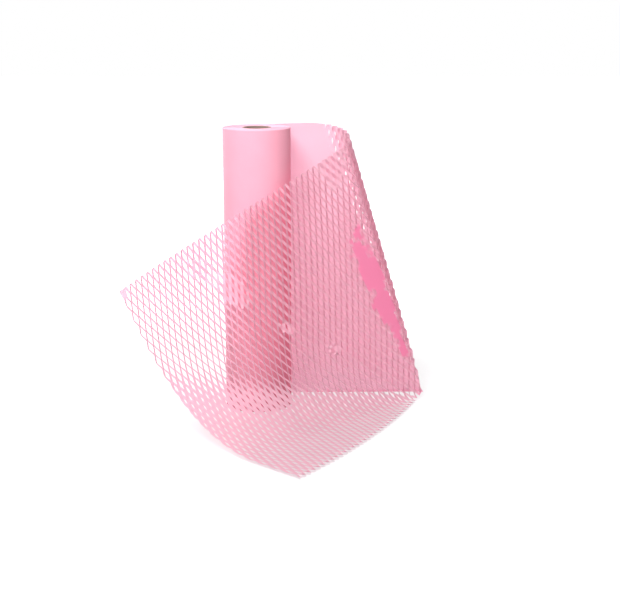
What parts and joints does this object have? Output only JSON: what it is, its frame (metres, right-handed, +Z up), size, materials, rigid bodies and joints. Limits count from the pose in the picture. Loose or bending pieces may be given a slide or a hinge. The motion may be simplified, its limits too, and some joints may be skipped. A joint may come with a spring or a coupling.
{
  "type": "honeycomb paper roll",
  "caption": "Roll of slit paper standing on its end, with a length drawn off that turns over a fold and comes back opened into honeycomb, down onto the floor.",
  "frame": {"origin": "on the roll's axis, at its base", "axes": "+Z up along the roll's axis, -Y towards the viewer and the opened paper, +X towards the fold"},
  "size_m": [0.3169, 0.2683, 0.3018],
  "materials": {
    "card": "matt grey-brown card",
    "pink_paper": "matt dyed kraft paper"
  },
  "bodies": {
    "root": {"core_tube": "card", "honeycomb_paper": "pink_paper"}
  },
  "joints": []
}
